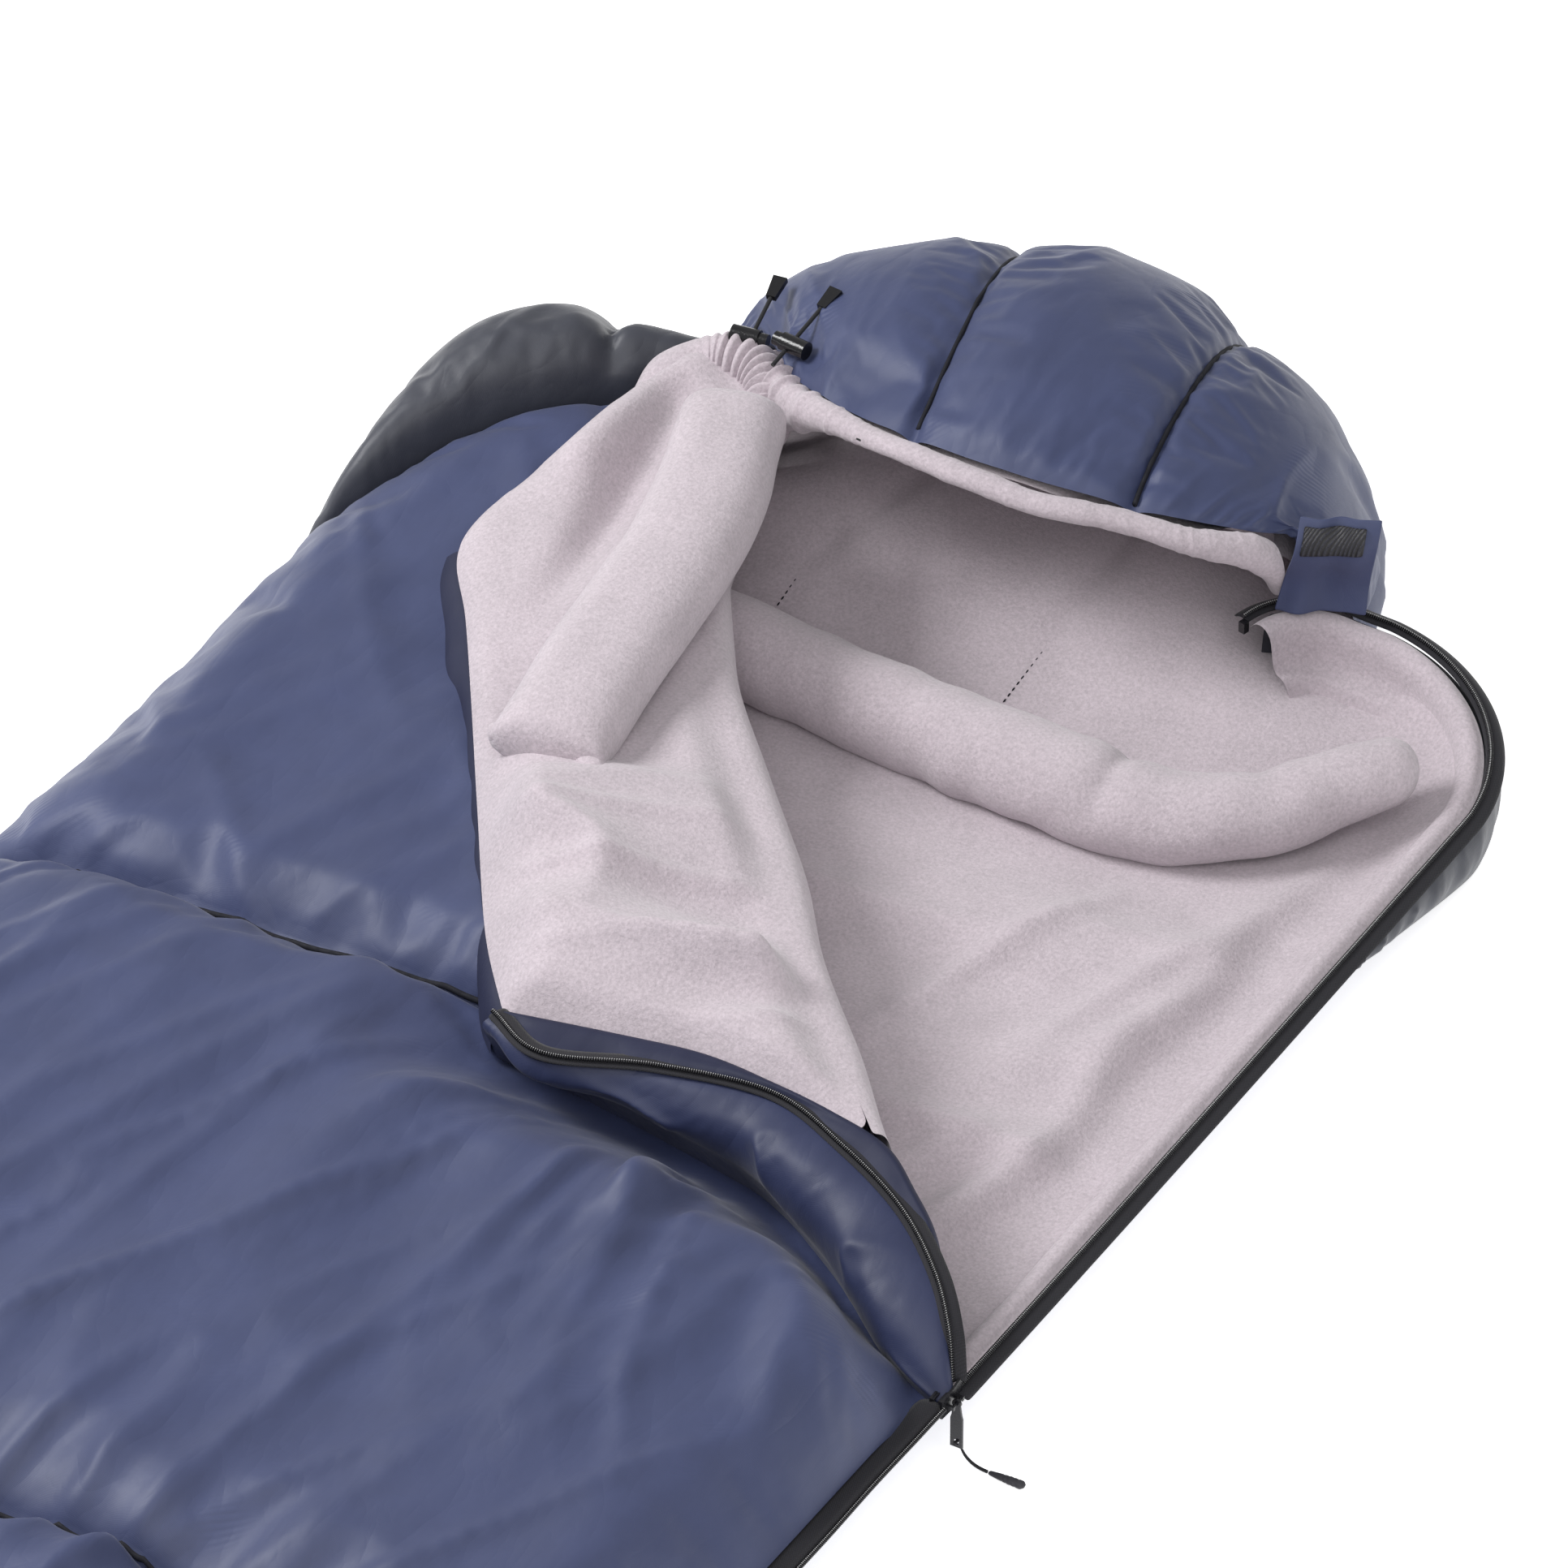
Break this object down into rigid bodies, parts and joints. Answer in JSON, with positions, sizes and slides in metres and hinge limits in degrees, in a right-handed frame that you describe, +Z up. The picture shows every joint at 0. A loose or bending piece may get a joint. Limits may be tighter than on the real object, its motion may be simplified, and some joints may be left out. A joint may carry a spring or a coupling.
{
  "type": "rectangular sleeping bag",
  "caption": "Padded rectangular sleeping bag with a drawcord hood, fleece lining and draft tubes, lying flat with its side zip part open and the top corner folded back.",
  "frame": {"origin": "on the ground under the bag, on its centreline, half way between the foot seam and the tip of the hood", "axes": "+Y from the foot to the head, +X towards the side that carries the zip, +Z up"},
  "size_m": [0.8408, 2.2, 0.2095],
  "materials": {
    "batting": "matte",
    "black_coil": "gloss",
    "black_moulding": "gloss",
    "black_tape": "matte",
    "charcoal": "satin",
    "cord": "matte",
    "fleece": "matte",
    "grip_rubber": "matte",
    "hook": "matte",
    "navy": "satin",
    "navy_dark": "satin",
    "slider_metal": "gloss",
    "spring_steel": "satin"
  },
  "bodies": {
    "bag": {"base_outer_shell": "navy", "base_insulation": "batting", "base_lining": "fleece", "base_side_wall": "navy", "shoulder_yoke": "charcoal", "side_seam_wall": "navy", "zip_draft_tube": "fleece", "neck_tube_cover": "fleece", "neck_tube_fill": "batting", "top_outer_shell": "navy", "top_insulation": "batting", "top_lining": "fleece", "shoulder_pad": "charcoal", "hood_outer_shell": "navy", "hood_insulation": "batting", "hood_lining": "fleece", "hood_cord_channel": "fleece", "hood_drawcord": "cord", "neck_drawcord": "cord", "cord_end_a": "black_moulding", "cord_end_b": "black_moulding", "zip_tape_base": "black_tape", "zip_coil_base": "black_coil", "zip_tape_top": "black_tape", "zip_coil_closed": "black_coil", "zip_coil_mouth": "black_coil", "zip_bottom_stop": "black_coil", "zip_top_stop": "black_coil"},
    "flap": {"flap_outer_shell": "navy", "flap_insulation": "batting", "flap_lining": "fleece", "flap_zip_guard": "navy_dark", "flap_loop_patch": "hook", "chest_tube_cover": "fleece", "chest_tube_fill": "batting", "chest_tube_tab": "fleece", "zip_tape_flap": "black_tape", "zip_coil_flap": "black_coil"},
    "slider": {"zip_slider": "slider_metal"},
    "pull_tab": {"zip_pull_tab": "slider_metal"},
    "pull_cord": {"zip_pull_cord": "cord"},
    "pull_grip": {"zip_pull_grip": "grip_rubber"},
    "lock_a": {"cord_lock_barrel_a": "black_moulding", "cord_lock_spring_a": "spring_steel"},
    "plunger_a": {"cord_lock_plunger_a": "black_moulding"},
    "lock_b": {"cord_lock_barrel_b": "black_moulding", "cord_lock_spring_b": "spring_steel"},
    "plunger_b": {"cord_lock_plunger_b": "black_moulding"},
    "closure_tab": {"hook_tab": "navy", "hook_strip": "hook"}
  },
  "joints": [
    {"name": "zip_slide", "type": "slide", "parent": "bag", "child": "slider", "axis": [0, -1, 0], "range_m": [0, 1.03]},
    {"name": "pull_tab_swing", "type": "hinge", "parent": "slider", "child": "pull_tab", "pos_m": [0.4049, 0.095, 0.05], "axis": [0, 1, 0], "range_deg": [-120, 0]},
    {"name": "pull_cord_swing", "type": "hinge", "parent": "pull_tab", "child": "pull_cord", "pos_m": [0.4049, 0.095, 0.02], "axis": [0, 1, 0], "range_deg": [-35, 10]},
    {"name": "pull_grip_swing", "type": "hinge", "parent": "pull_cord", "child": "pull_grip", "pos_m": [0.4249, 0.0978, 0.0026], "axis": [0, 1, 0], "range_deg": [-20, 0]},
    {"name": "corner_fold", "type": "hinge", "parent": "bag", "child": "flap", "pos_m": [0.278, 0.211, 0.102], "axis": [-0.6012, 0.7979, 0.0436], "range_deg": [0, 60]},
    {"name": "lock_slide_a", "type": "slide", "parent": "bag", "child": "lock_a", "axis": [-0.1338, 0.9519, 0.2756], "range_m": [-0.004, 0.024]},
    {"name": "lock_press_a", "type": "slide", "parent": "lock_a", "child": "plunger_a", "axis": [-0.9903, -0.1392, 0], "range_m": [0, 0.0035]},
    {"name": "lock_slide_b", "type": "slide", "parent": "bag", "child": "lock_b", "axis": [0.1005, 0.956, 0.2756], "range_m": [-0.004, 0.024]},
    {"name": "lock_press_b", "type": "slide", "parent": "lock_b", "child": "plunger_b", "axis": [0.9945, -0.1045, 0], "range_m": [0, 0.0035]},
    {"name": "closure_tab_swing", "type": "hinge", "parent": "bag", "child": "closure_tab", "pos_m": [0.237, 0.835, 0.095], "axis": [0.866, 0.5, 0], "range_deg": [-10, 70]}
  ]
}
